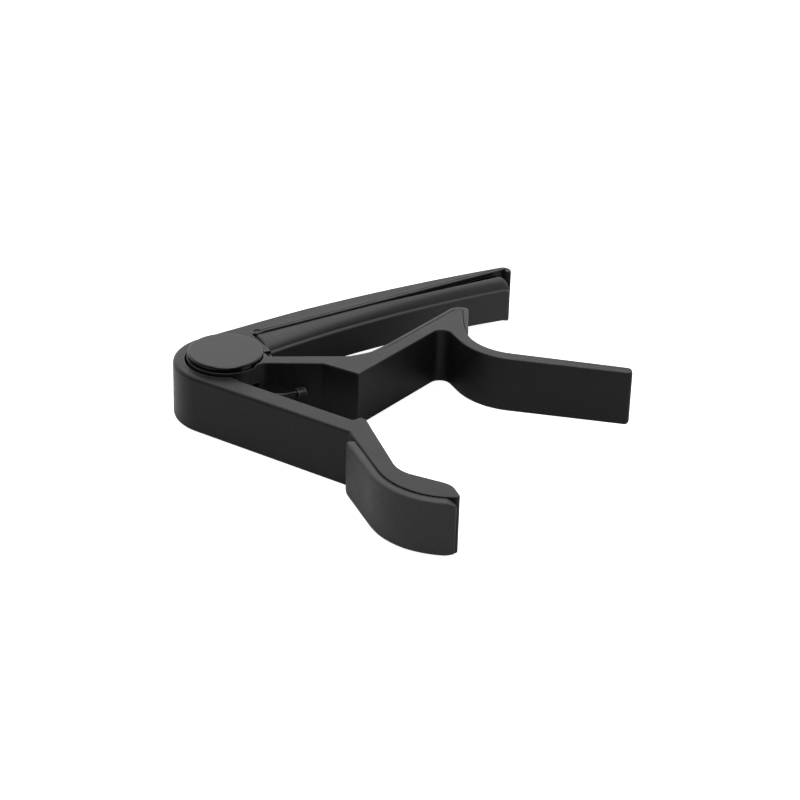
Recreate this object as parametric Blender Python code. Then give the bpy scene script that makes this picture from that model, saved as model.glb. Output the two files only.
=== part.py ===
"""A one-hand trigger capo for a guitar, lying on its side, with its jaw closed.

The frame is one casting: a round pivot housing, a string bar and a fixed handle.
The lever turns in the housing on a riveted pivot, and a torsion spring holds it closed.
The origin is where the pivot axis meets the plane that the capo lies on. +Z is the
pivot axis, and +X runs out along the lever's web. Every size is in metres.
"""

import math

import bmesh
import bpy

# Heights above the plane that the capo lies on
FRAME_HEIGHT = 0.0129
LEVER_BOTTOM = 0.0016
LEVER_TOP = 0.0141
CAP_TOP = 0.0148

# General
GAP = 0.0003
CHORD_ERROR = 0.00001
LARGEST_STEP = 20.0
RIM_STEPS = 3
CRISP_RIM = 0.00025
SOFT_RIM = 0.0008
ARM_CORNER_RIM = 0.0005

# Pivot housing
HOUSING_RADIUS = 0.0111
POCKET_RADIUS = 0.00864
POCKET_LEDGE = 0.0001
FLOOR_EDGE_RADIUS = 0.0102
FLOOR_THICKNESS = 0.0010
SEAT_RADIUS = 0.0066
SEAT_TOP = 0.0022
MOUTH_ANGLE = 23.8

# String bar
BAR_BACK_RADIUS = 0.390
BAR_ROOT_ANGLE = 126.7
BAR_TIP_ANGLE = 115.6
LIP_START = (0.00482, 0.01147)
LIP_ANGLE = 33.1
LIP_THICKNESS = 0.0010
BACK_WALL = 0.0011
CHANNEL_START = 0.0006
END_WALL_INNER_X = 0.0601
END_WALL_OUTER_X = 0.0614
END_WALL_REACH_Y = 0.0462
FINGERBOARD_RADIUS = 0.250
FACE_LOW_POINT = 0.0360
SEAM_BEHIND_LIP = 0.00072
SEAM_WIDTH = 0.0003
SEAM_DEPTH = 0.0002
SEAM_END = 0.0640
SEAM_SPOT_PLACE = 0.0016
SEAM_SPOT_RADIUS = 0.0009
SOFT_ROOT_LENGTH = 0.0150
FACE_DEPTH = 0.00315

# Fixed handle
HANDLE_ANGLE = -32.0
HANDLE_INNER_DISTANCE = 0.0065
HANDLE_BACK = [
    (0.02715, -0.0299, 0.0010),
    (0.0370, -0.0537, 0.0150),
    (0.0492, -0.0541, 0.0007),
]
HANDLE_FRONT = [
    (0.0470, -0.0491, 0.0050),
    (0.0371, -0.0445, 0.0070),
    (0.03035, -0.0246, 0.0006),
    (0.0292, -0.02365, 0.0005),
    (0.0277, -0.02498, 0.0008),
]

# Lever
HUB_RADIUS = 0.0082
HUB_BORE_RADIUS = 0.0070
HUB_BOTTOM = 0.0022
HUB_PLATE_BOTTOM = 0.0098
HUB_PLATE_TOP = 0.0135
WEB_ROOT = [
    (0.0048, -0.0065, 0.0),
    (0.0084, -0.00375, 0.0030),
]
LEVER_UNDERSIDE = [
    (0.0206, -0.0032, 0.0012),
    (0.02833, -0.00745, 0.0002),
    (0.04603, 0.01584, 0.0023),
    (0.05272, 0.00246, 0.0150),
    (0.0857, -0.00352, 0.0009),
    (0.0857, -0.00104, 0.0013),
    (0.05175, 0.00582, 0.0120),
]
LEVER_FACE = [
    (0.0503, 0.0175, 0.0030),
    (0.0501, 0.0237, 0.0006),
    (0.0485, 0.0237, 0.0013),
    (0.03095, 0.00079, 0.0150),
]
WEB_TOP_ROOT = [
    (0.0089, -0.0008, 0.0008),
    (0.0076, 0.0028, 0.0),
]
STOP_REACH = 0.0100
STOP_TOP = 0.0122

# Pads
STRING_PAD_START = 0.0010
STRING_PAD_END = 0.0640
PAD_DEPTH = 0.0041
PAD_LIP_GAP = 0.00035
PAD_BOW_START = 0.028
PAD_BOW_SLOPE = 0.060
PAD_LARGEST_GAP = 0.0020
NECK_PAD_OUTER = [
    (0.0263, 0.00137, 0.0),
    (0.03445, 0.00724, 0.0100),
    (0.0481, 0.0251, 0.0025),
    (0.05155, 0.0251, 0.0013),
    (0.0513, 0.0155, 0.0),
]
GRIP_THICKNESS = 0.0016
GRIP_START_THICKNESS = 0.0008
GRIP_TAPER = 0.0030
GRIP_INSET = 0.0003
GRIP_RIM = 0.0009

# Pivot hardware
RIVET_RADIUS = 0.0025
RIVET_HEAD_RADIUS = 0.0036
RIVET_END_RADIUS = 0.0034
SLEEVE_RADIUS = 0.0042
RECESS_RADIUS = 0.0044
RECESS_BOTTOM = 0.0119
WASHER_RADIUS = 0.0040
CAP_RADIUS = 0.0080
CAP_BOTTOM = 0.0138
CAP_RIB = (0.0057, 0.0067)
CAP_RIB_BOTTOM = 0.0127

# Torsion spring
WIRE_RADIUS = 0.0005
COIL_RADIUS = 0.0055
COIL_TURNS = 3.25
LEG_HEIGHT = 0.0073
LEG_ANGLE = 25.0
LEG_END = (0.0153, -0.00425)
BOSS_RADIUS = 0.00125
BOSS_LENGTH = 0.0018


# --- materials --------------------------------------------------------------------


def make_material(name, colour, roughness, metallic):
    """A Principled material in one colour."""
    material = bpy.data.materials.new(name)
    material.use_nodes = True
    shader = material.node_tree.nodes["Principled BSDF"]
    shader.inputs["Base Color"].default_value = (*colour, 1.0)
    shader.inputs["Roughness"].default_value = roughness
    shader.inputs["Metallic"].default_value = metallic
    material.diffuse_color = (*colour, 1.0)
    return material


# --- plan geometry ----------------------------------------------------------------


def polar(radius, degrees, centre=(0.0, 0.0)):
    """The plan point at a radius and an angle round a centre."""
    angle = math.radians(degrees)
    return (
        centre[0] + radius * math.cos(angle),
        centre[1] + radius * math.sin(angle),
    )


def arc(centre, radius, start, end):
    """Points along an arc between two angles in degrees, both ends included."""
    step = 2 * math.degrees(math.acos(1 - min(1.0, CHORD_ERROR / radius)))
    count = math.ceil(abs(end - start) / min(step, LARGEST_STEP))
    turns = [start + (end - start) * i / count for i in range(count + 1)]
    return [polar(radius, turn, centre) for turn in turns]


def corner_arc(before, corner, after, radius):
    """The points that round one corner of an outline."""
    back = math.atan2(before[1] - corner[1], before[0] - corner[0])
    ahead = math.atan2(after[1] - corner[1], after[0] - corner[0])
    opening = (ahead - back + math.pi) % (2 * math.pi) - math.pi
    middle = math.degrees(back + opening / 2)
    centre = polar(radius / abs(math.sin(opening / 2)), middle, corner[:2])
    turn = math.degrees(math.pi - abs(opening)) * math.copysign(1, opening)
    toward = middle + 180
    return arc(centre, radius, toward + turn / 2, toward - turn / 2)


def corner_points(corners, closed=True):
    """For each corner (x, y, radius), the points that draw it, rounded."""
    groups = []
    for i, corner in enumerate(corners):
        at_end = not closed and i in (0, len(corners) - 1)
        if at_end or corner[2] == 0:
            groups.append([corner[:2]])
            continue
        after = corners[(i + 1) % len(corners)]
        groups.append(corner_arc(corners[i - 1], corner, after, corner[2]))
    return groups


def rounded(corners, closed=True):
    """The outline through corners (x, y, radius), with each corner rounded."""
    return [point for group in corner_points(corners, closed) for point in group]


def offset(points, distances, closed=False):
    """The line through points moved to its left, by one distance for each point."""
    moved = []
    count = len(points)
    for i, (x, y) in enumerate(points):
        before = points[i - 1] if closed or i > 0 else points[i]
        after = points[(i + 1) % count] if closed or i < count - 1 else points[i]
        sides = []
        for a, b in (before, (x, y)), ((x, y), after):
            length = math.hypot(b[0] - a[0], b[1] - a[1])
            if length > 0:
                sides.append(((a[1] - b[1]) / length, (b[0] - a[0]) / length))
        across = (sides[0][0] + sides[-1][0], sides[0][1] + sides[-1][1])
        stretch = 2 * distances[i] / (across[0] ** 2 + across[1] ** 2)
        moved.append((x + across[0] * stretch, y + across[1] * stretch))
    return moved


def resampled(points, spacing):
    """The same line with no two points further apart than spacing."""
    result = [points[0]]
    for a, b in zip(points, points[1:]):
        count = math.ceil(math.dist(a, b) / spacing)
        for i in range(1, count + 1):
            share = i / count
            result.append((a[0] + (b[0] - a[0]) * share, a[1] + (b[1] - a[1]) * share))
    return result


# --- solids -----------------------------------------------------------------------


def finish_object(name, mesh, material):
    """Links a mesh as a named object, with round faces smooth and edges sharp."""
    obj = bpy.data.objects.new(name, mesh)
    bpy.context.scene.collection.objects.link(obj)
    if material:
        mesh.materials.append(material)
    mesh.shade_smooth()
    mesh.set_sharp_from_angle(angle=math.radians(30))
    return obj


def loft(name, rings, material=None):
    """A closed solid through rings of points, its two end rings capped."""
    build = bmesh.new()
    made = [[build.verts.new(point) for point in ring] for ring in rings]
    for low, high in zip(made, made[1:]):
        for i in range(len(low)):
            build.faces.new((low[i - 1], low[i], high[i], high[i - 1]))
    build.faces.new(list(reversed(made[0])))
    build.faces.new(made[-1])
    bmesh.ops.recalc_face_normals(build, faces=build.faces)
    mesh = bpy.data.meshes.new(name)
    build.to_mesh(mesh)
    build.free()
    return finish_object(name, mesh, material)


def prism(name, outline, low, high, material=None, rims=None):
    """An outline run from low to high, with its top and bottom edges rounded."""
    if rims is None:
        rings = [[(x, y, z) for x, y in outline] for z in (low, high)]
        return loft(name, rings, material)
    rings = []
    for step in range(RIM_STEPS + 1):
        angle = math.radians(90 * step / RIM_STEPS)
        inset = offset(outline, [rim * (1 - math.sin(angle)) for rim in rims], True)
        drops = [rim * (1 - math.cos(angle)) for rim in rims]
        rings.append([(x, y, low + drop) for (x, y), drop in zip(inset, drops)])
    upper = [[(x, y, low + high - z) for x, y, z in ring] for ring in rings]
    return loft(name, rings + upper[::-1], material)


def turned(name, profile, material=None, ring=False):
    """A profile of (radius, height) turned round the pivot axis.

    A ring's profile closes on itself. Any other starts and ends on the axis.
    """
    build = bmesh.new()
    largest = max(radius for radius, _ in profile)
    count = len(arc((0, 0), largest, 0, 360)) - 1
    rows = []
    for radius, height in profile:
        if radius == 0:
            rows.append([build.verts.new((0, 0, height))] * count)
            continue
        around = [polar(radius, 360 * i / count) for i in range(count)]
        rows.append([build.verts.new((x, y, height)) for x, y in around])
    pairs = list(zip(rows, rows[1:])) + ([(rows[-1], rows[0])] if ring else [])
    for low, high in pairs:
        for i in range(count):
            corners = (low[i - 1], low[i], high[i], high[i - 1])
            build.faces.new(list(dict.fromkeys(corners)))
    bmesh.ops.recalc_face_normals(build, faces=build.faces)
    mesh = bpy.data.meshes.new(name)
    build.to_mesh(mesh)
    build.free()
    return finish_object(name, mesh, material)


def cylinder(name, radius, low, high, centre=(0.0, 0.0)):
    """A plain round helper on its own vertical axis."""
    outline = arc(centre, radius, 0, 360)[:-1]
    return prism(name, outline, low, high)


def leaning_cylinder(name, radius, start, degrees, length, height):
    """A plain round helper that lies level, from a plan point along an angle."""
    along = polar(1.0, degrees)
    around = arc((0, 0), radius, 0, 360)[:-1]
    rings = []
    for distance in (0.0, length):
        x = start[0] + along[0] * distance
        y = start[1] + along[1] * distance
        ring = [(x - along[1] * a, y + along[0] * a, height + b) for a, b in around]
        rings.append(ring)
    return loft(name, rings)


def combine(target, operation, *helpers):
    """Adds or cuts helper shapes, which stay in the scene as hidden wires."""
    for helper in helpers:
        modifier = target.modifiers.new(helper.name, "BOOLEAN")
        modifier.operation = operation
        modifier.solver = "EXACT"
        modifier.object = helper
        helper.hide_render = True
        helper.display_type = "WIRE"


# --- places shared by several pieces -----------------------------------------------


def bar_point(along, inward):
    """A plan point measured along the bar's straight lip, and inward from it."""
    x, y = polar(along, LIP_ANGLE, LIP_START)
    return polar(inward, LIP_ANGLE - 90, (x, y))


def behind_lip(point):
    """How far a plan point stands behind the line of the bar's lip."""
    across = polar(1.0, LIP_ANGLE + 90)
    return (point[0] - LIP_START[0]) * across[0] + (point[1] - LIP_START[1]) * across[1]


def bar_place(point):
    """How far along the bar's lip a plan point stands."""
    forward = polar(1.0, LIP_ANGLE)
    return (point[0] - LIP_START[0]) * forward[0] + (point[1] - LIP_START[1]) * forward[1]


def face_depth(along):
    """How far the string pad's face stands inward of the lip."""
    from_low_point = along - FACE_LOW_POINT
    return FACE_DEPTH + from_low_point**2 / (2 * FINGERBOARD_RADIUS)


def handle_point(along, distance):
    """A plan point along the fixed handle's arm, at a distance from the pivot."""
    foot = polar(distance, HANDLE_ANGLE - 90)
    return polar(along, HANDLE_ANGLE, foot)


def toward(start, end, distance):
    """The plan point at a distance from start on the way to end."""
    share = distance / math.dist(start[:2], end[:2])
    return (
        start[0] + (end[0] - start[0]) * share,
        start[1] + (end[1] - start[1]) * share,
    )


# --- the frame ----------------------------------------------------------------------


def frame_outline():
    """The frame's plan outline, and the rounding of its edges at each point."""
    bar_centre = polar(HOUSING_RADIUS - BAR_BACK_RADIUS, BAR_ROOT_ANGLE)
    bar_back = arc(bar_centre, BAR_BACK_RADIUS, BAR_TIP_ANGLE, BAR_ROOT_ANGLE)
    housing = arc((0, 0), HOUSING_RADIUS, BAR_ROOT_ANGLE, 270 + HANDLE_ANGLE)
    outside = [(END_WALL_OUTER_X, 0.0496, 0.0018)]
    outside += [(*point, 0.0) for point in bar_back[:-1] + housing]
    outside += HANDLE_BACK
    from_foot = math.degrees(math.acos(HANDLE_INNER_DISTANCE / FLOOR_EDGE_RADIUS))
    floor_start = HANDLE_ANGLE - 90 + from_foot
    floor_edge = arc((0, 0), FLOOR_EDGE_RADIUS, floor_start, MOUTH_ANGLE)
    lip_length = (END_WALL_INNER_X - LIP_START[0]) / math.cos(math.radians(LIP_ANGLE))
    inside = HANDLE_FRONT + [(*point, 0.0) for point in floor_edge]
    inside += [(*LIP_START, 0.0003)]
    inside += [(*bar_point(lip_length, 0.0), 0.0)]
    inside += [(END_WALL_INNER_X, END_WALL_REACH_Y, 0.0003)]
    inside += [(END_WALL_OUTER_X, END_WALL_REACH_Y, 0.0003)]
    groups = corner_points(outside + inside)
    group_rims = [CRISP_RIM] * len(groups)
    for i, point in enumerate(bar_back[:-1]):
        softness = 1 - min(1.0, max(0.0, bar_place(point) / SOFT_ROOT_LENGTH))
        group_rims[1 + i] = CRISP_RIM + (SOFT_RIM - CRISP_RIM) * softness
    arm_corner = len(bar_back) + len(housing)
    for i in range(len(bar_back), arm_corner):
        group_rims[i] = SOFT_RIM
    group_rims[arm_corner] = ARM_CORNER_RIM
    outline = [point for group in groups for point in group]
    rims = [rim for rim, group in zip(group_rims, groups) for _ in group]
    return outline, rims


def pocket_outline():
    """The pivot pocket with its open mouth, between the handle's wall and the bar."""
    wall = HANDLE_INNER_DISTANCE - POCKET_LEDGE
    from_foot = math.degrees(math.acos(wall / POCKET_RADIUS))
    mouth_low = 270 + HANDLE_ANGLE + from_foot
    points = arc((0, 0), POCKET_RADIUS, MOUTH_ANGLE, mouth_low)
    points.append(handle_point(0.0140, wall))
    points.append(polar(0.0160, MOUTH_ANGLE))
    return points


def channel_outline():
    """The space under the bar's top lip, between its back wall and its end wall."""
    bar_centre = polar(HOUSING_RADIUS - BAR_BACK_RADIUS, BAR_ROOT_ANGLE)
    inner_radius = BAR_BACK_RADIUS - BACK_WALL
    back = arc(bar_centre, inner_radius, BAR_TIP_ANGLE, BAR_ROOT_ANGLE)
    lip_length = (END_WALL_INNER_X - LIP_START[0]) / math.cos(math.radians(LIP_ANGLE))
    lip_end = bar_point(lip_length, 0.0)
    far = [p for p in back if p[0] < END_WALL_INNER_X and behind_lip(p) > 2 * GAP]
    kept = [p for p in far if bar_place(p) > CHANNEL_START]
    wall_low = (END_WALL_INNER_X, END_WALL_REACH_Y - 0.0080)
    front = bar_point(CHANNEL_START, 0.0100)
    return [front, wall_low, lip_end, *kept, bar_point(CHANNEL_START, -0.0026)]


def seam_outline():
    """The fine seam along the bar's top face, behind its lip."""
    near = SEAM_WIDTH / 2 - SEAM_BEHIND_LIP
    far = -SEAM_WIDTH / 2 - SEAM_BEHIND_LIP
    return [
        bar_point(SEAM_SPOT_PLACE, near),
        bar_point(SEAM_END, near),
        bar_point(SEAM_END, far),
        bar_point(SEAM_SPOT_PLACE, far),
    ]


def make_frame(material):
    """The casting: pivot housing, string bar and fixed handle."""
    above = FRAME_HEIGHT + 0.0010
    below = -0.0010
    outline, rims = frame_outline()
    frame = prism("frame", outline, 0.0, FRAME_HEIGHT, material, rims)
    pocket = prism("pocket", pocket_outline(), FLOOR_THICKNESS, above)
    channel_top = FRAME_HEIGHT - LIP_THICKNESS
    channel = prism("channel", channel_outline(), below, channel_top)
    seat = cylinder("spring_seat", SEAT_RADIUS, FLOOR_THICKNESS / 2, SEAT_TOP)
    rivet_hole = cylinder("rivet_hole", RIVET_RADIUS + GAP, below, above)
    head_hole = cylinder("head_hole", RIVET_HEAD_RADIUS + GAP, below, 0.0015)
    tang = tang_place()
    tang_hole = cylinder("tang_hole", WIRE_RADIUS + GAP, 0.0008, above, tang)
    seam_bottom = FRAME_HEIGHT - SEAM_DEPTH
    seam = prism("seam", seam_outline(), seam_bottom, above)
    spot_place = bar_point(SEAM_SPOT_PLACE, -SEAM_BEHIND_LIP)
    spot = cylinder("seam_spot", SEAM_SPOT_RADIUS, seam_bottom, above, spot_place)
    combine(frame, "DIFFERENCE", pocket, channel, seam, spot)
    combine(frame, "UNION", seat)
    combine(frame, "DIFFERENCE", rivet_hole, head_hole, tang_hole)
    return frame


# --- the lever ----------------------------------------------------------------------


def stop_outline():
    """The block on the web's root that meets the housing's mouth when closed."""
    clearance = math.degrees(GAP / STOP_REACH)
    face_angle = MOUTH_ANGLE - clearance
    inner = HUB_RADIUS - 0.0006
    return [
        (inner, -0.0012),
        (STOP_REACH, -0.0012),
        *arc((0, 0), STOP_REACH, 8.0, face_angle),
        polar(inner, face_angle),
    ]


def make_lever(material):
    """The casting: hub, web, neck cradle and trigger handle."""
    outline = rounded(WEB_ROOT + LEVER_UNDERSIDE + LEVER_FACE + WEB_TOP_ROOT)
    rims = [CRISP_RIM] * len(outline)
    lever = prism("trigger_lever", outline, LEVER_BOTTOM, LEVER_TOP, material, rims)
    above = LEVER_TOP + 0.0010
    hub = cylinder("hub", HUB_RADIUS, LEVER_BOTTOM + 0.0001, LEVER_TOP - 0.0001)
    stop = prism("stop_block", stop_outline(), LEVER_BOTTOM + 0.0003, STOP_TOP)
    boss = leaning_cylinder(
        "leg_boss", BOSS_RADIUS, LEG_END, LEG_ANGLE, BOSS_LENGTH, LEG_HEIGHT
    )
    combine(lever, "UNION", hub, stop, boss)
    clearance = cylinder("hub_clearance", POCKET_RADIUS, 0.0, HUB_BOTTOM)
    bore = cylinder("hub_bore", HUB_BORE_RADIUS, 0.0, HUB_PLATE_BOTTOM)
    window_outline = [
        (0.0010, -0.0120),
        (0.0125, -0.0120),
        (0.0125, -0.00445),
        (0.0045, -0.00445),
        (0.0010, -0.0060),
    ]
    window = prism("spring_window", window_outline, 0.0, HUB_PLATE_BOTTOM)
    cap_seat = cylinder("cap_seat", CAP_RADIUS + GAP, HUB_PLATE_TOP, above)
    recess = cylinder("washer_recess", RECESS_RADIUS, RECESS_BOTTOM, above)
    hole = cylinder("lever_hole", RIVET_RADIUS + GAP, 0.0, above)
    rib_low = CAP_RIB_BOTTOM - GAP
    groove_profile = [
        (CAP_RIB[0] - GAP, rib_low),
        (CAP_RIB[1] + GAP, rib_low),
        (CAP_RIB[1] + GAP, above),
        (CAP_RIB[0] - GAP, above),
    ]
    groove = turned("cap_groove", groove_profile, ring=True)
    ahead = polar(BOSS_LENGTH + 0.0010, LEG_ANGLE + 180, LEG_END)
    leg_hole = leaning_cylinder(
        "leg_hole", WIRE_RADIUS + GAP, ahead, LEG_ANGLE, 0.0042, LEG_HEIGHT
    )
    cuts = (clearance, bore, window, cap_seat, recess, hole, groove, leg_hole)
    combine(lever, "DIFFERENCE", *cuts)
    return lever


# --- pivot and spring ---------------------------------------------------------------


def make_rivet(material):
    """The steel pivot rivet: head flush with the floor, closed end over the washer."""
    end_bottom = RECESS_BOTTOM + 0.0011
    profile = [
        (0.0, 0.0),
        (RIVET_HEAD_RADIUS - 0.0003, 0.0),
        (RIVET_HEAD_RADIUS, 0.0003),
        (RIVET_HEAD_RADIUS, 0.0012),
        (RIVET_RADIUS, 0.0012),
        (RIVET_RADIUS, end_bottom),
        (RIVET_END_RADIUS, end_bottom),
        (RIVET_END_RADIUS - 0.0003, end_bottom + 0.00045),
        (0.0, end_bottom + 0.00045),
    ]
    return turned("pivot_rivet", profile, material)


def make_ring(name, inner, outer, low, high, material):
    """A flat ring, such as a washer or a sleeve, with its outer edges broken."""
    edge = min(0.0002, (high - low) / 4)
    profile = [
        (inner, low),
        (outer - edge, low),
        (outer, low + edge),
        (outer, high - edge),
        (outer - edge, high),
        (inner, high),
    ]
    return turned(name, profile, material, ring=True)


def make_cap(material):
    """The round cover over the pivot, with the rib that presses into the hub."""
    profile = [(0.0, CAP_BOTTOM), (CAP_RIB[0], CAP_BOTTOM)]
    profile += [(CAP_RIB[0], CAP_RIB_BOTTOM), (CAP_RIB[1], CAP_RIB_BOTTOM)]
    profile += [(CAP_RIB[1], CAP_BOTTOM), (CAP_RADIUS, CAP_BOTTOM)]
    edge = CRISP_RIM
    corner = (CAP_RADIUS - edge, CAP_TOP - edge)
    profile += arc(corner, edge, 0, 90)
    profile.append((0.0, CAP_TOP))
    return turned("pivot_cap", profile, material)


def tang_place():
    """Where the spring's end goes down into the frame's floor."""
    return (-COIL_RADIUS, 0.0009)


def spring_route():
    """The wire's centre line: tang, coil and the leg that pushes the lever."""
    tang = tang_place()
    coil_low = SEAT_TOP + GAP + WIRE_RADIUS
    bend = tang[1]
    route = [(*tang, 0.0012), (*tang, coil_low - bend)]
    for degrees in (30, 60):
        angle = math.radians(degrees)
        ahead = bend * (1 - math.cos(angle))
        route.append((tang[0], tang[1] - ahead, coil_low - bend * (1 - math.sin(angle))))
    steps = round(COIL_TURNS * 24)
    for i in range(steps):
        x, y = polar(COIL_RADIUS, 180 + 360 * COIL_TURNS * i / steps)
        route.append((x, y, coil_low + (LEG_HEIGHT - coil_low) * i / steps))
    slope = math.tan(math.radians(LEG_ANGLE))
    corner_x = LEG_END[0] - (LEG_END[1] + COIL_RADIUS) / slope
    inside = polar(0.0012, LEG_ANGLE, LEG_END)
    leg = [(0.0, -COIL_RADIUS, 0.0), (corner_x, -COIL_RADIUS, 0.0020), (*inside, 0.0)]
    route += [(x, y, LEG_HEIGHT) for x, y in rounded(leg, closed=False)]
    return route


def make_spring(material):
    """The torsion spring, a round wire along its route."""
    curve = bpy.data.curves.new("torsion_spring", "CURVE")
    curve.dimensions = "3D"
    curve.bevel_depth = WIRE_RADIUS
    curve.bevel_resolution = 2
    curve.use_fill_caps = True
    route = spring_route()
    spline = curve.splines.new("POLY")
    spline.points.add(len(route) - 1)
    for point, place in zip(spline.points, route):
        point.co = (*place, 1.0)
    curve.materials.append(material)
    spring = bpy.data.objects.new("torsion_spring", curve)
    bpy.context.scene.collection.objects.link(spring)
    return spring


# --- pads ---------------------------------------------------------------------------


def string_pad_section(along):
    """The string pad's section at a place: depth behind its face, and height."""
    bowed = max(0.0, along - PAD_BOW_START)
    lip_gap = min(PAD_LIP_GAP + PAD_BOW_SLOPE * bowed, PAD_LARGEST_GAP)
    shoulder = face_depth(along) - lip_gap
    back = max(shoulder + 0.00015, PAD_DEPTH)
    return [
        (0.00025, 0.00370),
        (0.00005, 0.00395),
        (0.0, 0.00430),
        (0.0, 0.00975),
        (0.00006, 0.01000),
        (0.00022, 0.01014),
        (0.00032, 0.01030),
        (0.00080, 0.01205),
        (0.00100, 0.01232),
        (shoulder - 0.00030, 0.01245),
        (shoulder - 0.00008, 0.01240),
        (shoulder, 0.01222),
        (shoulder, 0.01150),
        (back, 0.01150),
        (back, 0.00350),
    ]


def make_string_pad(material):
    """The rubber that presses the strings, curved to the fingerboard."""
    nose = [(0.0, 0.40), (0.0003, 0.20), (0.0009, 0.06), (0.0018, 0.0)]
    length = STRING_PAD_END - STRING_PAD_START
    stations = [(along, inset) for along, inset in nose]
    stations += [(length * i / 24, 0.0) for i in range(2, 23)]
    stations += [(length - along, inset / 2) for along, inset in reversed(nose)]
    middle = (0.01245 + 0.00350) / 2
    rings = []
    for along, inset in stations:
        place = STRING_PAD_START + along
        section = string_pad_section(place)
        thickness = section[-1][0]
        ring = []
        for depth, height in section:
            sunk = depth + inset * (thickness - depth)
            x, y = bar_point(place, face_depth(place) - sunk)
            ring.append((x, y, middle + (height - middle) * (1 - inset / 3)))
        rings.append(ring)
    return loft("string_pad", rings, material)


def make_neck_pad(material):
    """The rubber on the lever's cradle, which wraps over its peak."""
    corners = [(0.0245, 0.00033, 0.0), *reversed(LEVER_FACE), (0.05062, 0.0149, 0.0)]
    face = rounded(corners, closed=False)
    inner = offset(face, [GAP] * len(face))
    low_end = NECK_PAD_OUTER[-1][1]
    covered = [p for p in inner if p[0] > NECK_PAD_OUTER[0][0] and p[1] >= 0.0]
    covered = [p for p in covered if p[0] < 0.0500 or p[1] > low_end]
    outline = rounded(NECK_PAD_OUTER, closed=False) + covered[::-1]
    rims = [CRISP_RIM * 0.6] * len(outline)
    return prism("neck_pad", outline[::-1], LEVER_BOTTOM, LEVER_TOP, material, rims)


def make_grip_pad(material):
    """The rubber over the back of the fixed handle."""
    start, bend, tip = HANDLE_BACK
    corners = [(*toward(start, bend, 0.0010), 0.0), bend]
    corners.append((*toward(tip, bend, 0.0006), 0.0))
    line = resampled(rounded(corners, closed=False), 0.0012)
    travelled = 0.0
    thickness = [GRIP_START_THICKNESS]
    for a, b in zip(line, line[1:]):
        travelled += math.dist(a, b)
        grown = math.sin(min(1.0, travelled / GRIP_TAPER) * math.pi / 2)
        gained = (GRIP_THICKNESS - GRIP_START_THICKNESS) * grown
        thickness.append(GRIP_START_THICKNESS + gained)
    inner = offset(line, [-GAP] * len(line))
    outer = offset(line, [-GAP - t for t in thickness])
    outline = outer + inner[::-1]
    rims = [min(GRIP_RIM, t * 0.45) for t in thickness] + [0.0001] * len(inner)
    high = FRAME_HEIGHT - GRIP_INSET
    return prism("grip_pad", outline, GRIP_INSET, high, material, rims)


# --- the whole capo -----------------------------------------------------------------


def main():
    for obj in list(bpy.data.objects):
        bpy.data.objects.remove(obj)
    paint = make_material("satin_black_paint", (0.012, 0.012, 0.013), 0.42, 0.0)
    cap_black = make_material("black_cap", (0.014, 0.014, 0.015), 0.35, 0.0)
    steel = make_material("zinc_plated_steel", (0.55, 0.56, 0.58), 0.35, 1.0)
    spring_steel = make_material("oiled_spring_steel", (0.10, 0.10, 0.11), 0.38, 1.0)
    nylon = make_material("white_nylon", (0.80, 0.79, 0.75), 0.55, 0.0)
    rubber = make_material("black_rubber", (0.018, 0.018, 0.019), 0.62, 0.0)
    axis = bpy.data.objects.new("lever_axis", None)
    bpy.context.scene.collection.objects.link(axis)
    make_frame(paint)
    make_string_pad(rubber)
    make_grip_pad(rubber)
    make_rivet(steel)
    sleeve_low = SEAT_TOP + GAP
    sleeve_high = HUB_PLATE_BOTTOM - GAP
    sleeve_inner = RIVET_RADIUS + GAP
    make_ring(
        "pivot_sleeve", sleeve_inner, SLEEVE_RADIUS, sleeve_low, sleeve_high, steel
    )
    washer_low = FLOOR_THICKNESS + GAP
    washer_high = HUB_BOTTOM - GAP
    washer_inner = SEAT_RADIUS + 0.00035
    washer_outer = POCKET_RADIUS - 0.00034
    make_ring(
        "hub_washer", washer_inner, washer_outer, washer_low, washer_high, nylon
    )
    plate_low = RECESS_BOTTOM + GAP
    plate_high = RECESS_BOTTOM + 0.0008
    make_ring(
        "rivet_washer", sleeve_inner, WASHER_RADIUS, plate_low, plate_high, steel
    )
    make_spring(spring_steel)
    moving = [make_lever(paint), make_neck_pad(rubber), make_cap(cap_black)]
    for piece in moving:
        piece.parent = axis


main()
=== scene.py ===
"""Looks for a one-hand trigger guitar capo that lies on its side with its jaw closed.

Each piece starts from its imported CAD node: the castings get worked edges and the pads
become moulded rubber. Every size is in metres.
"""

import math

import bmesh
import bpy
from mathutils import Matrix, Vector, noise
from mathutils.bvhtree import BVHTree


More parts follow.
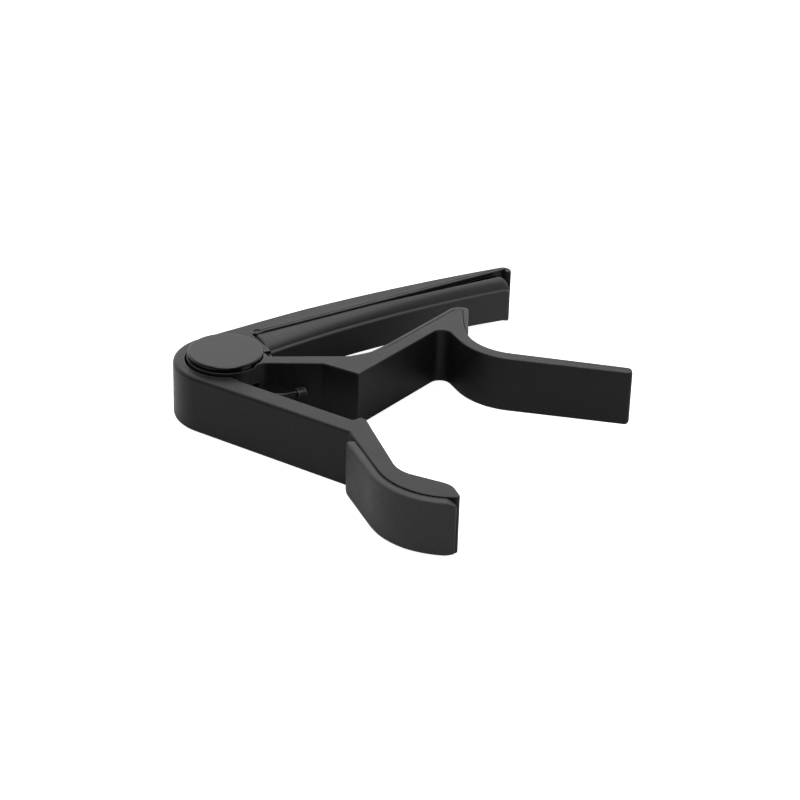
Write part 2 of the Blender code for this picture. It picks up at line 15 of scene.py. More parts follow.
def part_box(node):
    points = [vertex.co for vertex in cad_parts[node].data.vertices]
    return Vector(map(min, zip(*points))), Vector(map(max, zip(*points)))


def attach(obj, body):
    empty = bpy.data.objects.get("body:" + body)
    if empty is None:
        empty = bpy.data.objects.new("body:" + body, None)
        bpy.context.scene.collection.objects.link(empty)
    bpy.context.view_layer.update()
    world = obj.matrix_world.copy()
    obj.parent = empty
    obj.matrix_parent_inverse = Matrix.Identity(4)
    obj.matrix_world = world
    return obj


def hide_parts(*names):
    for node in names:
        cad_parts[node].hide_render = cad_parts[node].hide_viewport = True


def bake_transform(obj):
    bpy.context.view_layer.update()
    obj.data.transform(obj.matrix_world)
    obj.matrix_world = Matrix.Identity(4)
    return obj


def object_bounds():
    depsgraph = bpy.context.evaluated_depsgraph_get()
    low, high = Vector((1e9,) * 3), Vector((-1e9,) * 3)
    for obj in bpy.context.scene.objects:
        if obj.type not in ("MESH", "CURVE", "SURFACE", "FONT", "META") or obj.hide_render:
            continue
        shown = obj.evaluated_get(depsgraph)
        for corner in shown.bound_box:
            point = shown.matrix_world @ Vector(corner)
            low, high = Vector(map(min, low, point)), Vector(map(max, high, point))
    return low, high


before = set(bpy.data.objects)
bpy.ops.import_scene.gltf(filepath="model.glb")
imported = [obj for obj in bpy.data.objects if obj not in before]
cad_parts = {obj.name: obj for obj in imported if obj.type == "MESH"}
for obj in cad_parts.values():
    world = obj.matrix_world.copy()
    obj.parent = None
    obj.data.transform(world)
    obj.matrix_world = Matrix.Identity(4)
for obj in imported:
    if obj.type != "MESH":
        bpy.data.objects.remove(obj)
cad_low, cad_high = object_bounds()

# Mesh work
WELD = 1e-6
FLAT_ANGLE = math.radians(0.3)
SHARP_ANGLE = math.radians(33)
PAD_SHARP_ANGLE = math.radians(50)
FACE_WEIGHT = 60

# The bar's straight lip, as the CAD sets it out, and the pad that hangs from it
LIP_START = Vector((0.00482, 0.01147))
LIP_ANGLE = math.radians(33.1)
LIP_FORWARD = Vector((math.cos(LIP_ANGLE), math.sin(LIP_ANGLE)))
LIP_INWARD = Vector((math.sin(LIP_ANGLE), -math.cos(LIP_ANGLE)))
FACE_LOW_POINT = 0.0360
FACE_DEPTH = 0.00315
FINGERBOARD_RADIUS = 0.250

# The pivot: the frame's pocket and its mouth lie inside this radius
POCKET_REACH = 0.0125
POCKET_RIM = 0.00016
FRAME_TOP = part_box("frame")[1].z
TOP_MARGIN = 0.0001

# The cap's top edge, as the CAD has it and as it is here. Points inside the edge's
# slack, and points nearly on the axis, stay where they are.
CAP_RIM_CAD = 0.00025
CAP_RIM = 0.00045
RIM_SLACK = -0.01
AXIS_REACH = 0.001

# The frame's grip end, which is filled out, more at its back than at its front
GRIP_END_START = 0.0435
GRIP_END_LENGTH = 0.0035
GRIP_END_BACK = -0.0470
GRIP_END_FRONT = -0.0541
GRIP_END_WIDTH = 0.0045
GRIP_END_FILL = 0.0003

# The foot of the wall at the bar's tip, which is trimmed, more at its outer corner
WALL_START = 0.0643
WALL_CORNER = 0.0662
WALL_CORNER_WIDTH = 0.0009
WALL_FOOT_HEIGHT = 0.0010
WALL_FOOT_TRIM = 0.0003
WALL_CORNER_TRIM = 0.0005

# The lever's tail and the radii of its lower and upper corner
TAIL_MIDDLE_Y = -0.0023
TAIL_CORNERS = (0.0016, 0.0010)

# The boss that takes the spring's leg, as the CAD sets it out, and how much of its
# height is kept
BOSS_END = Vector((0.0153, -0.00425, 0.0073))
BOSS_ANGLE = math.radians(25.0)
BOSS_AXIS = Vector((math.cos(BOSS_ANGLE), math.sin(BOSS_ANGLE), 0.0))
BOSS_SPAN = (-0.0003, 0.0040)
BOSS_SKIN = (0.0010, 0.00135)
BOSS_HEIGHT_KEPT = 0.78

# The rubber pads' even mesh, the gap that they keep to their castings, and how
# squarely a pad's surface and its casting face each other where it is drawn up
VOXEL = 0.0002
PAD_GAP = 0.00004
PAD_REACH = 0.0007
MEETS_CASTING = -0.5
FACES_CASTING = 0.35

# The grip pad's rounded ends, and the hollows that moulding leaves in it
GRIP_START_CORNER = 0.0030
GRIP_TIP_CORNER = 0.0024
HOLLOW_SIZE = 0.006
HOLLOW_DEPTH = 0.00010
HOLLOW_LEVEL = 0.2

# The neck pad: where its near end thins out, and how its far end runs on past the peak
NECK_START = (0.0300, 0.0350)
NECK_TAPER = NECK_START[1] - NECK_START[0]
NECK_THINNED = 0.62
NECK_SKIN = 0.00003
NECK_END = Vector((0.0500, 0.0168))
NECK_STRETCH = 3.2

# The grey card's painted shadow under the jaw: its middle, and the distances over which it
# fades
JAW_MIDDLE = (0.026, 0.010, 0.0)
PAINTED_SHADOW_FADE = (0.012, 0.028)


# --- node materials -----------------------------------------------------------------


class Finish:
    """A node material that is built one step at a time."""

    def __init__(self, name, colour, roughness, metallic=0.0, specular=0.5):
        self.material = bpy.data.materials.new(name)
        self.material.use_nodes = True
        self.tree = self.material.node_tree
        self.shader = self.tree.nodes["Principled BSDF"]
        self.set("Base Color", (*colour, 1.0))
        self.set("Roughness", roughness)
        self.set("Metallic", metallic)
        self.set("Specular IOR Level", specular)
        self.place = self.tree.nodes.new("ShaderNodeTexCoord").outputs["Object"]
        self.material.diffuse_color = (*colour, 1.0)

    def set(self, socket, value):
        self.shader.inputs[socket].default_value = value

    def link(self, source, target):
        self.tree.links.new(source, target)

    def stretched(self, scale):
        """Object coordinates stretched by a scale on each axis."""
        node = self.tree.nodes.new("ShaderNodeMapping")
        node.inputs["Scale"].default_value = scale
        self.link(self.place, node.inputs["Vector"])
        return node.outputs["Vector"]

    def noise(self, size, detail=3.0, roughness=0.55, place=None):
        """Noise whose features are about one size across."""
        node = self.tree.nodes.new("ShaderNodeTexNoise")
        node.inputs["Scale"].default_value = 1.0 / size
        node.inputs["Detail"].default_value = detail
        node.inputs["Roughness"].default_value = roughness
        self.link(place or self.place, node.inputs["Vector"])
        return node.outputs["Fac"]

    def cells(self, size):
        """Distance to the nearest of many scattered points, one size apart."""
        node = self.tree.nodes.new("ShaderNodeTexVoronoi")
        node.inputs["Scale"].default_value = 1.0 / size
        self.link(self.place, node.inputs["Vector"])
        return node.outputs["Distance"]

    def ranged(self, value, low, high, to_low, to_high):
        """A value mapped from one range to another, held inside it."""
        node = self.tree.nodes.new("ShaderNodeMapRange")
        for name, number in (
            ("From Min", low),
            ("From Max", high),
            ("To Min", to_low),
            ("To Max", to_high),
        ):
            node.inputs[name].default_value = number
        self.link(value, node.inputs["Value"])
        return node.outputs["Result"]

    def maths(self, operation, first, second):
        """One sum or product of two values."""
        node = self.tree.nodes.new("ShaderNodeMath")
        node.operation = operation
        for socket, value in zip(node.inputs, (first, second)):
            if isinstance(value, float):
                socket.default_value = value
            else:
                self.link(value, socket)
        return node.outputs["Value"]

    def mixed(self, factor, first, second):
        """Two colours mixed by a factor. Either may be a colour or a socket."""
        node = self.tree.nodes.new("ShaderNodeMix")
        node.data_type = "RGBA"
        self.link(factor, node.inputs["Factor"])
        sides = (node.inputs[6], node.inputs[7])
        for socket, value in zip(sides, (first, second)):
            if isinstance(value, tuple):
                socket.default_value = (*value, 1.0)
            else:
                self.link(value, socket)
        return node.outputs[2]

    def bump(self, height, depth, strength=1.0):
        """Small relief, as deep as depth, on top of any relief made before."""
        node = self.tree.nodes.new("ShaderNodeBump")
        node.inputs["Distance"].default_value = depth
        node.inputs["Strength"].default_value = strength
        self.link(height, node.inputs["Height"])
        linked = self.shader.inputs["Normal"].links
        if linked:
            self.link(linked[0].from_socket, node.inputs["Normal"])
        self.link(node.outputs["Normal"], self.shader.inputs["Normal"])

    def edges(self, radius):
        """About 0 on broad faces and up to 1 along edges and corners."""
        bevel = self.tree.nodes.new("ShaderNodeBevel")
        bevel.samples = 6
        bevel.inputs["Radius"].default_value = radius
        face = self.tree.nodes.new("ShaderNodeNewGeometry")
        product = self.tree.nodes.new("ShaderNodeVectorMath")
        product.operation = "DOT_PRODUCT"
        self.link(bevel.outputs["Normal"], product.inputs[0])
        self.link(face.outputs["Normal"], product.inputs[1])
        return self.ranged(product.outputs["Value"], 0.995, 0.86, 0.0, 1.0)


def satin_paint():
    """Satin black paint over a casting: fine orange peel, rubbed at its edges."""
    paint = Finish("satin_black_paint", (0.006, 0.006, 0.0062), 0.40, specular=0.18)
    broad = paint.noise(0.009, 4.0)
    fine = paint.noise(0.0006, 3.0)
    rubbed = paint.maths("MULTIPLY", paint.edges(0.0004), paint.noise(0.004, 4.0))
    tone = paint.mixed(broad, (0.0050, 0.0050, 0.0052), (0.0072, 0.0072, 0.0075))
    tone = paint.mixed(rubbed, tone, (0.10, 0.10, 0.102))
    paint.link(tone, paint.shader.inputs["Base Color"])
    gloss = paint.ranged(broad, 0.35, 0.65, 0.36, 0.43)
    gloss = paint.maths("SUBTRACT", gloss, paint.maths("MULTIPLY", rubbed, 0.10))
    gloss = paint.maths("ADD", gloss, paint.ranged(fine, 0.3, 0.7, -0.03, 0.03))
    paint.link(gloss, paint.shader.inputs["Roughness"])
    paint.bump(broad, 0.00004)
    paint.bump(fine, 0.000030)
    return paint.material


def cap_paint():
    """The cap's smoother black, polished round its rim, with painted shade that makes its
    side darker than its slightly greyer top.
    """
    cap = Finish("smooth_black_cap", (0.008, 0.008, 0.0083), 0.34, specular=0.20)
    broad = cap.noise(0.006, 3.0)
    fine = cap.noise(0.0003, 2.0)
    tone = cap.mixed(broad, (0.0070, 0.0070, 0.0073), (0.0095, 0.0095, 0.0098))
    # Painted shade: where the surface turns from the top down to the side, its colour
    # darkens to near black. The same mask also lowers the roughness round the rim.
    facing = cap.tree.nodes.new("ShaderNodeNewGeometry")
    split = cap.tree.nodes.new("ShaderNodeSeparateXYZ")
    cap.link(facing.outputs["Normal"], split.inputs["Vector"])
    side = cap.ranged(split.outputs["Z"], 0.97, 0.60, 0.0, 1.0)
    tone = cap.mixed(side, tone, (0.002, 0.002, 0.002))
    cap.link(tone, cap.shader.inputs["Base Color"])
    gloss = cap.ranged(broad, 0.3, 0.7, 0.32, 0.37)
    gloss = cap.maths("SUBTRACT", gloss, cap.maths("MULTIPLY", side, 0.22))
    cap.link(gloss, cap.shader.inputs["Roughness"])
    cap.bump(fine, 0.000006)
    return cap.material


def black_rubber():
    """Moulded black rubber: dull, finely pitted, with a little dust."""
    rubber = Finish("moulded_black_rubber", (0.018, 0.018, 0.0185), 0.52, specular=0.30)
    broad = rubber.noise(0.008, 4.0)
    fine = rubber.noise(0.00035, 4.0, 0.65)
    dust = rubber.ranged(rubber.cells(0.0016), 0.10, 0.03, 0.0, 0.5)
    tone = rubber.mixed(broad, (0.0160, 0.0160, 0.0165), (0.0210, 0.0210, 0.0215))
    tone = rubber.mixed(dust, tone, (0.028, 0.028, 0.0275))
    rubber.link(tone, rubber.shader.inputs["Base Color"])
    dull = rubber.ranged(broad, 0.3, 0.7, 0.52, 0.62)
    dull = rubber.maths("ADD", dull, rubber.ranged(fine, 0.3, 0.7, -0.04, 0.04))
    rubber.link(dull, rubber.shader.inputs["Roughness"])
    rubber.bump(broad, 0.00006)
    rubber.bump(fine, 0.000035)
    return rubber.material


def plated_steel():
    """Bright zinc plating with turning marks round the pivot axis."""
    steel = Finish("zinc_plated_steel", (0.56, 0.57, 0.58), 0.30, 1.0)
    radius = steel.tree.nodes.new("ShaderNodeVectorMath")
    radius.operation = "LENGTH"
    flat = steel.stretched((1.0, 1.0, 0.0))
    steel.link(flat, radius.inputs[0])
    rings = steel.tree.nodes.new("ShaderNodeTexNoise")
    rings.noise_dimensions = "1D"
    rings.inputs["Scale"].default_value = 9000.0
    steel.link(radius.outputs["Value"], rings.inputs["W"])
    broad = steel.noise(0.002, 3.0)
    tone = steel.mixed(broad, (0.50, 0.51, 0.52), (0.62, 0.63, 0.64))
    steel.link(tone, steel.shader.inputs["Base Color"])
    dull = steel.ranged(rings.outputs["Fac"], 0.3, 0.7, 0.24, 0.38)
    steel.link(dull, steel.shader.inputs["Roughness"])
    steel.bump(rings.outputs["Fac"], 0.000004)
    return steel.material


def oiled_spring_steel():
    """Dark oiled wire, with faint drawing marks and a mottled oil film."""
    wire = Finish("oiled_spring_steel", (0.03, 0.03, 0.031), 0.40, 1.0)
    film = wire.noise(0.0012, 4.0)
    fine = wire.noise(0.00015, 2.0)
    tone = wire.mixed(film, (0.022, 0.022, 0.0225), (0.045, 0.044, 0.043))
    wire.link(tone, wire.shader.inputs["Base Color"])
    wire.link(wire.ranged(film, 0.3, 0.7, 0.30, 0.44), wire.shader.inputs["Roughness"])
    wire.bump(fine, 0.000004)
    return wire.material


def natural_nylon():
    """Off-white nylon, a little cloudy."""
    nylon = Finish("natural_nylon", (0.78, 0.77, 0.72), 0.50)
    cloud = nylon.noise(0.003, 4.0)
    fine = nylon.noise(0.0002, 2.0)
    tone = nylon.mixed(cloud, (0.74, 0.73, 0.68), (0.81, 0.80, 0.76))
    nylon.link(tone, nylon.shader.inputs["Base Color"])
    nylon.link(nylon.ranged(fine, 0.3, 0.7, 0.45, 0.56), nylon.shader.inputs["Roughness"])
    nylon.bump(fine, 0.000005)
    return nylon.material


def studio_floor():
    """A plain pale floor with hardly any tooth, which glows so that it looks white."""
    floor = Finish("pale_floor", (0.40, 0.40, 0.40), 0.85, specular=0.1)
    tone = floor.mixed(floor.noise(0.12), (0.395, 0.395, 0.397), (0.405, 0.405, 0.405))
    floor.link(tone, floor.shader.inputs["Base Color"])
    floor.set("Emission Color", (1.0, 1.0, 1.0, 1.0))
    floor.set("Emission Strength", 0.97)
    return floor.material


def bounce_card():
    """A grey card that lights the capo from below, with a painted shadow under its jaw."""
    card = Finish("grey_card", (0.50, 0.50, 0.50), 0.9, specular=0.1)
    away = card.tree.nodes.new("ShaderNodeVectorMath")
    away.operation = "DISTANCE"
    away.inputs[1].default_value = JAW_MIDDLE
    card.link(card.place, away.inputs[0])
    # Painted shadow: the card's colour is dark near the jaw's middle and fades to grey
    # further out.
    light = card.ranged(away.outputs["Value"], *PAINTED_SHADOW_FADE, 0.0, 1.0)
    tone = card.mixed(card.noise(0.12), (0.495, 0.495, 0.495), (0.505, 0.505, 0.505))
    card.link(card.mixed(light, (0.06, 0.06, 0.06), tone), card.shader.inputs["Base Color"])
    return card.material


# --- mesh work ----------------------------------------------------------------------


def copied(node, name):
    """A new piece with the shape of a CAD node, welded, with its flat faces whole."""
    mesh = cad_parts[node].data.copy()
    mesh.name = name
    build = bmesh.new()
    build.from_mesh(mesh)
    bmesh.ops.remove_doubles(build, verts=build.verts, dist=WELD)
    bmesh.ops.dissolve_limit(
        build, angle_limit=FLAT_ANGLE, verts=build.verts, edges=build.edges
    )
    bmesh.ops.recalc_face_normals(build, faces=build.faces)
    build.to_mesh(mesh)
    build.free()
    mesh.materials.clear()
    stored = mesh.attributes.get("custom_normal")
    if stored is not None:
        mesh.attributes.remove(stored)
    piece = bpy.data.objects.new(name, mesh)
    bpy.context.scene.collection.objects.link(piece)
    return piece


def applied(piece):
    """Turns a piece and its modifiers into one plain mesh."""
    graph = bpy.context.evaluated_depsgraph_get()
    shaped = bpy.data.meshes.new_from_object(piece.evaluated_get(graph))
    old = piece.data
    piece.modifiers.clear()
    piece.data = shaped
    bpy.data.meshes.remove(old)
    return piece


def smooth(piece):
    """Smooth shading that keeps flat faces flat and real corners sharp."""
    piece.data.shade_smooth()
    piece.data.set_sharp_from_angle(angle=SHARP_ANGLE)
    weighted = piece.modifiers.new("face_weights", "WEIGHTED_NORMAL")
    weighted.keep_sharp = True
    weighted.weight = FACE_WEIGHT
    return applied(piece)


def stands_for(piece, node, material):
    """Gives a piece its finish and hides the node it replaces."""
    piece.data.materials.clear()
    piece.data.materials.append(material)
    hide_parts(node)


def broken_edges(piece, width, chosen):
    """Rounds the sharp edges whose middle points are chosen."""
    build = bmesh.new()
    build.from_mesh(piece.data)
    edges = []
    for edge in build.edges:
        if len(edge.link_faces) == 2 and edge.calc_face_angle() > SHARP_ANGLE:
            if chosen((edge.verts[0].co + edge.verts[1].co) / 2):
                edges.append(edge)
    bmesh.ops.bevel(
        build,
        geom=edges,
        offset=width,
        segments=3,
        profile=0.5,
        affect="EDGES",
        clamp_overlap=True,
    )
    build.to_mesh(piece.data)
    build.free()


def reshaped(piece, moved):
    """Moves each point of a piece by a function of its place and its normal."""
    vertices = piece.data.vertices
    points = [(vertex.co.copy(), vertex.normal.copy()) for vertex in vertices]
    flat = [number for place, facing in points for number in moved(place, facing)]
    vertices.foreach_set("co", flat)
    piece.data.update()


def snug(piece, neighbour, reach, rest):
    """Moves the side of a pad that faces its casting up to it, rest away from it."""
    tree = BVHTree.FromObject(neighbour, bpy.context.evaluated_depsgraph_get())

    def moved(place, facing):
        spot, normal, _, distance = tree.find_nearest(place, reach)
        if spot is None or distance <= rest:
            return place
        toward = (spot - place).normalized()
        if toward.dot(normal) > MEETS_CASTING or facing.dot(toward) < FACES_CASTING:
            return place
        return spot - toward * rest

    reshaped(piece, moved)


def remeshed(piece, voxel, rounds):
    """An even, slightly softened mesh of the same shape, as moulded rubber has."""
    grid = piece.modifiers.new("even_mesh", "REMESH")
    grid.mode = "VOXEL"
    grid.voxel_size = voxel
    soften = piece.modifiers.new("soften", "SMOOTH")
    soften.factor = 0.5
    soften.iterations = rounds
    applied(piece)
    piece.data.shade_smooth()
    return piece


def uneven(piece, size, depth):
    """Gives a rubber surface the faint hollows that moulding leaves."""

    def moved(place, facing):
        sunk = min(0.0, noise.noise(place / size) - HOLLOW_LEVEL)
        return place + facing * sunk * depth

    reshaped(piece, moved)


def rounded_end(piece, tip, radii, middle, half):
    """Rounds an end in side view, by one radius below its middle and one above."""

    def moved(place, _):
        radius = radii[1] if place.z > middle else radii[0]
        away = (place.xy - tip).length
        if away >= radius:
            return place
        lost = radius - math.sqrt(radius**2 - (radius - away) ** 2)
        height = middle + (place.z - middle) * (half - lost) / half
        return Vector((place.x, place.y, height))

    reshaped(piece, moved)


def feathered(piece, neighbour):
    """Thins the neck pad's near end and draws its far end out past the peak."""
    tree = BVHTree.FromObject(neighbour, bpy.context.evaluated_depsgraph_get())

    def moved(place, _):
        if place.x > NECK_END.x and place.y < NECK_END.y:
            below = (NECK_END.y - place.y) * NECK_STRETCH
            place = Vector((place.x, NECK_END.y - below, place.z))
        spot, normal, _, _ = tree.find_nearest(place)
        start = min(1.0, max(0.0, (NECK_START[1] - place.x) / NECK_TAPER))
        out = place - spot
        if out.dot(normal) < 0:
            return spot + normal * NECK_SKIN
        return spot + out * (1 - NECK_THINNED * start)

    reshaped(piece, moved)


def rounder_rim(piece, node, old, new):
    """Gives a turned piece's top edge a larger radius."""
    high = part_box(node)[1]
    outer = high.x

    def moved(place, _):
        across = place.xy.length
        u = (across - (outer - old)) / old
        v = (place.z - (high.z - old)) / old
        if u < RIM_SLACK or v < RIM_SLACK or across < AXIS_REACH:
            return place
        far = outer - new + new * u
        flat = place.xy * (far / across)
        return Vector((flat.x, flat.y, high.z - new + new * v))

    reshaped(piece, moved)


def lofted(name, rings):
    """A closed piece through rings of points, with its two ends capped."""
    build = bmesh.new()
    made = [[build.verts.new(point) for point in ring] for ring in rings]
    for low, high in zip(made, made[1:]):
        for i in range(len(low)):
            build.faces.new((low[i - 1], low[i], high[i], high[i - 1]))
    build.faces.new(made[0][::-1])
    build.faces.new(made[-1])
    bmesh.ops.recalc_face_normals(build, faces=build.faces)
    mesh = bpy.data.meshes.new(name)
    build.to_mesh(mesh)
    build.free()
    piece = bpy.data.objects.new(name, mesh)
    bpy.context.scene.collection.objects.link(piece)
    return piece


# --- the string pad -----------------------------------------------------------------

PAD_SPAN = (0.00088, 0.06440)
PAD_STATIONS = 160
PAD_CROWDING = 0.3
PAD_ROOT_CORNER = 0.0006
PAD_TIP_CORNER = 0.0019
PAD_TOP = 0.01252
PAD_BOTTOM = (0.00345, 0.00230)
BEAD_RADIUS = 0.00050
BEAD_HEIGHT = (0.00998, 0.00962)
BEAD_STEP = 0.00010

# The gap between the pad and the bar's lip, which opens towards the tip
LIP_TOUCH = 0.00006
GAP_START = 0.0310
GAP_SLOPE = 0.058
LARGEST_GAP = 0.0020

# The section's details: (depth behind the face, rise from the underside) along the
# lower corner, then the face, the cove over the bead, the shoulder and the back
LOWER_CORNER = ((0.00060, 0.0), (0.00030, 0.00008), (0.00008, 0.00028), (0.0, 0.00060))
FACE_MIDDLE = 0.0080
COVE_STEPS = 16
COVE_START = 0.00004
COVE_END = 0.00025
COVE_BEND = 0.00085
SHOULDER_CORNER = (0.00008, 0.00004)
SHOULDER_DROP = 0.00016
SHOULDER_FOOT = 0.01150
LEAST_LEDGE = 0.00015
PAD_BACK = 0.0041

# How the pad's two ends are rounded in plan
END_INSET = 0.00002
END_REACH = 0.0006
END_RADIUS = 0.00055


def pad_section(along):
    """The string pad's section: (depth behind its face, height) round its outline.

    A bead runs along the top of the playing face. Above it a cove rises and
    flattens towards the bar's lip.
    """
    face = FACE_DEPTH + (along - FACE_LOW_POINT) ** 2 / (2 * FINGERBOARD_RADIUS)
    gap = min(LIP_TOUCH + GAP_SLOPE * max(0.0, along - GAP_START), LARGEST_GAP)
    shoulder = face - gap
    share = (along - PAD_SPAN[0]) / (PAD_SPAN[1] - PAD_SPAN[0])
    low = PAD_BOTTOM[0] + (PAD_BOTTOM[1] - PAD_BOTTOM[0]) * share**2
    bead = BEAD_HEIGHT[0] + (BEAD_HEIGHT[1] - BEAD_HEIGHT[0]) * share
    front = [(depth, low + rise) for depth, rise in LOWER_CORNER]
    front += [(0.0, FACE_MIDDLE), (0.0, bead - BEAD_STEP)]
    for degrees in range(0, 81, 10):
        turn = math.radians(degrees)
        rise = BEAD_RADIUS * math.sin(turn)
        front.append((BEAD_RADIUS * (1 - math.cos(turn)), bead + rise))
    cove = []
    start = Vector((BEAD_RADIUS + COVE_START, bead + BEAD_RADIUS + BEAD_STEP))
    end = Vector((shoulder - COVE_END, PAD_TOP))
    steer = Vector((COVE_BEND, PAD_TOP - BEAD_STEP))
    for i in range(COVE_STEPS + 1):
        t = i / COVE_STEPS
        cove.append(tuple(start * (1 - t) ** 2 + steer * 2 * t * (1 - t) + end * t**2))
    back = max(shoulder + LEAST_LEDGE, PAD_BACK)
    rear = [
        (shoulder - SHOULDER_CORNER[0], PAD_TOP - SHOULDER_CORNER[1]),
        (shoulder, PAD_TOP - SHOULDER_DROP),
        (shoulder, SHOULDER_FOOT),
        (back, SHOULDER_FOOT),
        (back, low),
    ]
    return front + cove + rear


def string_pad():
    """The moulded pad under the bar, curved to the fingerboard, its ends rounded."""
    first, last = PAD_SPAN
    middle = (PAD_TOP + PAD_BOTTOM[0]) / 2
    half = PAD_TOP - middle
    rings = []
    for i in range(PAD_STATIONS + 1):
        turn = math.pi * i / PAD_STATIONS
        crowded = (1 - math.cos(turn)) / 2
        share = i / PAD_STATIONS * (1 - PAD_CROWDING) + crowded * PAD_CROWDING
        along = first + (last - first) * share
        corner = PAD_ROOT_CORNER if share < 0.5 else PAD_TIP_CORNER
        from_end = min(along - first, last - along) + END_INSET
        lost = sunk = 0.0
        if from_end < corner:
            lost = corner - math.sqrt(corner**2 - (corner - from_end) ** 2)
        if from_end < END_REACH:
            level = END_RADIUS**2 - (END_REACH - from_end) ** 2
            sunk = END_RADIUS - math.sqrt(max(0.0, level))
        section = pad_section(along)
        face = FACE_DEPTH + (along - FACE_LOW_POINT) ** 2 / (2 * FINGERBOARD_RADIUS)
        ring = []
        for depth, height in section:
            if height > middle:
                height = middle + (height - middle) * (half - lost) / half
            depth = max(depth, sunk)
            spot = LIP_START + LIP_FORWARD * along + LIP_INWARD * (face - depth)
            ring.append((spot.x, spot.y, height))
        rings.append(ring)
    piece = lofted("string_pad_rubber", rings)
    piece.data.shade_smooth()
    piece.data.set_sharp_from_angle(angle=PAD_SHARP_ANGLE)
    return piece


# --- the capo -----------------------------------------------------------------------

paint = satin_paint()
cap_black = cap_paint()
rubber = black_rubber()
steel = plated_steel()
spring_steel = oiled_spring_steel()
nylon = natural_nylon()


def on_pocket_rim(spot):
    """Whether a point is on the top edge of the pivot pocket or of its mouth."""
    return spot.z > FRAME_TOP - TOP_MARGIN and spot.xy.length < POCKET_REACH


def fuller_ends(place, _):
    """Fills out the grip's end, and trims the foot of the wall at the bar's tip."""
    if place.x > GRIP_END_START and place.y < GRIP_END_BACK:
        share = min(1.0, (place.x - GRIP_END_START) / GRIP_END_LENGTH)
        back = min(1.0, max(0.0, (place.y - GRIP_END_FRONT) / GRIP_END_WIDTH))
        return place + Vector((GRIP_END_FILL * (1 + back) * share, 0.0, 0.0))
    along = (place.xy - LIP_START).dot(LIP_FORWARD)
    if along > WALL_START and place.z < WALL_FOOT_HEIGHT:
        corner = max(0.0, (along - WALL_CORNER) / WALL_CORNER_WIDTH)
        return place + Vector((0.0, 0.0, WALL_FOOT_TRIM + WALL_CORNER_TRIM * corner))
    return place


def flatter_boss(place, _):
    """Makes the boss at the spring's leg less tall."""
    away = place - BOSS_END
    ahead = away.dot(BOSS_AXIS)
    across = (away - BOSS_AXIS * ahead).length
    on_boss = BOSS_SPAN[0] < ahead < BOSS_SPAN[1] and BOSS_SKIN[0] < across < BOSS_SKIN[1]
    if not on_boss:
        return place
    return Vector((place.x, place.y, BOSS_END.z + away.z * BOSS_HEIGHT_KEPT))


frame_piece = copied("frame", "frame_casting")
reshaped(frame_piece, fuller_ends)
broken_edges(frame_piece, POCKET_RIM, on_pocket_rim)
stands_for(smooth(frame_piece), "frame", paint)
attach(frame_piece, "frame")

lever_piece = copied("trigger_lever", "lever_casting")
lever_low, lever_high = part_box("trigger_lever")
lever_tip = Vector((lever_high.x, TAIL_MIDDLE_Y))
lever_middle = (lever_low.z + lever_high.z) / 2
lever_half = lever_high.z - lever_middle
rounded_end(lever_piece, lever_tip, TAIL_CORNERS, lever_middle, lever_half)
reshaped(lever_piece, flatter_boss)
stands_for(smooth(lever_piece), "trigger_lever", paint)
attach(lever_piece, "lever")

cap_piece = copied("pivot_cap", "round_cap")
rounder_rim(cap_piece, "pivot_cap", CAP_RIM_CAD, CAP_RIM)
stands_for(smooth(cap_piece), "pivot_cap", cap_black)
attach(cap_piece, "lever")

for node, body, material, slot in (
    ("pivot_rivet", "frame", steel, "plated_steel"),
    ("pivot_sleeve", "frame", steel, "plated_steel"),
    ("rivet_washer", "frame", steel, "plated_steel"),
    ("hub_washer", "frame", nylon, "nylon"),
):
    piece = smooth(copied(node, node + "_part"))
    stands_for(piece, node, material)
    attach(piece, body)

string_piece = string_pad()
stands_for(string_piece, "string_pad", rubber)
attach(string_piece, "frame")

grip_low, grip_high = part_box("grip_pad")
grip_piece = remeshed(copied("grip_pad", "grip_pad_rubber"), VOXEL, 2)
grip_vertices = [v.co.xy.copy() for v in grip_piece.data.vertices]
grip_start = max(grip_vertices, key=lambda spot: spot.y)
grip_tip = max(grip_vertices, key=lambda spot: spot.x)
grip_middle = (grip_low.z + grip_high.z) / 2
grip_half = (grip_high.z - grip_low.z) / 2
rounded_end(grip_piece, grip_start, (GRIP_START_CORNER,) * 2, grip_middle, grip_half)
rounded_end(grip_piece, grip_tip, (GRIP_TIP_CORNER,) * 2, grip_middle, grip_half)
uneven(grip_piece, HOLLOW_SIZE, HOLLOW_DEPTH)
snug(grip_piece, frame_piece, PAD_REACH, PAD_GAP)
stands_for(grip_piece, "grip_pad", rubber)
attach(grip_piece, "frame")

neck_piece = remeshed(copied("neck_pad", "neck_pad_rubber"), VOXEL, 3)
feathered(neck_piece, lever_piece)
snug(neck_piece, lever_piece, PAD_REACH, PAD_GAP)
stands_for(neck_piece, "neck_pad", rubber)
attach(neck_piece, "lever")

spring = smooth(copied("torsion_spring", "torsion_spring_wire"))
stands_for(spring, "torsion_spring", spring_steel)
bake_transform(spring)

# --- floor, light, camera -----------------------------------------------------------

SHEET_REACH = 3.0
FLOOR_DROP = 0.00005
CARD_DROP = 0.0001

# The overhead light, from the middle of the capo's box
LIGHT_PLACE = Vector((0.0, -0.12, 0.70))
LIGHT_SIZE = (0.5, 0.4)
LIGHT_WATTS = 7.0

# How bright the surroundings are, from in front of the capo to behind it
WORLD_SIDES = (-0.5, 0.85)
WORLD_LEVELS = (0.15, 1.9)

CAMERA_SENSOR_MM = 36.0
CAMERA_LENS_MM = 112.8
CAMERA_NEAREST = 0.01
CAMERA_PLACE = Vector((0.037048, -0.46724, 0.26045))
CAMERA_RIGHT = Vector((0.99953, 0.014739, 0.026866))
CAMERA_FORWARD = Vector((0.0, 0.87673, -0.48099))


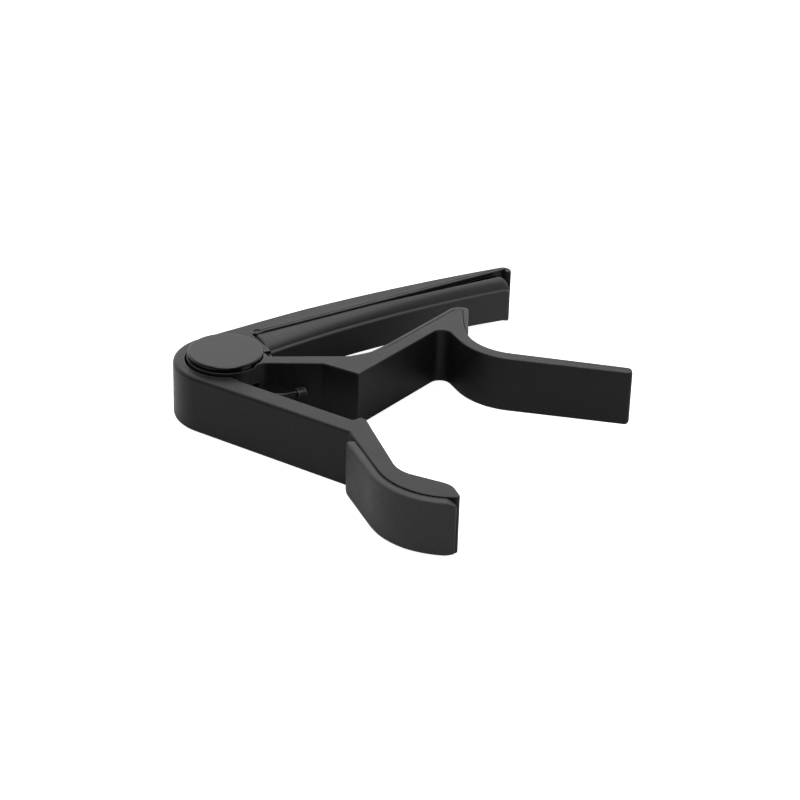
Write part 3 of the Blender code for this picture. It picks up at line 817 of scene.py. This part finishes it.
def sheet_of(name, level, material):
    """A wide flat sheet at one height, which isn't part of the object."""
    far = SHEET_REACH
    corners = [(-far, -far), (far, -far), (far, far), (-far, far)]
    mesh = bpy.data.meshes.new(name)
    mesh.from_pydata([(x, y, level) for x, y in corners], [], [(0, 1, 2, 3)])
    mesh.materials.append(material)
    sheet = bpy.data.objects.new(name, mesh)
    bpy.context.scene.collection.objects.link(sheet)
    return sheet


# The camera sees a bright pale floor. The capo is lit by a dimmer card in its place.
floor = sheet_of("studio_floor", cad_low.z - FLOOR_DROP, studio_floor())
floor.visible_diffuse = False
floor.visible_glossy = False
floor.visible_transmission = False
floor.visible_shadow = False
card = sheet_of("bounce_card", cad_low.z - CARD_DROP, bounce_card())
card.visible_camera = False


def studio_world():
    """White surroundings, dim in front of the capo and bright behind it."""
    world = bpy.data.worlds.new("studio")
    world.use_nodes = True
    tree = world.node_tree
    background = tree.nodes["Background"]
    direction = tree.nodes.new("ShaderNodeTexCoord").outputs["Generated"]
    split = tree.nodes.new("ShaderNodeSeparateXYZ")
    tree.links.new(direction, split.inputs["Vector"])
    ramp = tree.nodes.new("ShaderNodeMapRange")
    ramp.interpolation_type = "SMOOTHSTEP"
    names = ("From Min", "From Max", "To Min", "To Max")
    for name, number in zip(names, WORLD_SIDES + WORLD_LEVELS):
        ramp.inputs[name].default_value = number
    tree.links.new(split.outputs["Y"], ramp.inputs["Value"])
    tree.links.new(ramp.outputs["Result"], background.inputs["Strength"])
    background.inputs["Color"].default_value = (1.0, 1.0, 1.0, 1.0)
    return world


def softbox(name, place, target, size, power):
    """A large rectangular light that looks at a point."""
    data = bpy.data.lights.new(name, "AREA")
    data.shape = "RECTANGLE"
    data.size, data.size_y = size
    data.energy = power
    light = bpy.data.objects.new(name, data)
    light.location = place
    light.rotation_mode = "QUATERNION"
    aim = target - place
    light.rotation_quaternion = aim.to_track_quat("-Z", "Y")
    bpy.context.scene.collection.objects.link(light)


def studio_camera():
    """A long lens in front of the capo that looks down at it."""
    data = bpy.data.cameras.new("camera")
    data.sensor_width = CAMERA_SENSOR_MM
    data.lens = CAMERA_LENS_MM
    data.clip_start = CAMERA_NEAREST
    camera = bpy.data.objects.new("camera", data)
    up = CAMERA_RIGHT.cross(CAMERA_FORWARD)
    place = Matrix((CAMERA_RIGHT, up, -CAMERA_FORWARD)).transposed().to_4x4()
    place.translation = CAMERA_PLACE
    camera.matrix_world = place
    bpy.context.scene.collection.objects.link(camera)
    return camera


bpy.context.scene.world = studio_world()
centre = (cad_low + cad_high) / 2
softbox("overhead", centre + LIGHT_PLACE, centre, LIGHT_SIZE, LIGHT_WATTS)
bpy.context.scene.camera = studio_camera()
bpy.context.scene.view_settings.view_transform = "Standard"
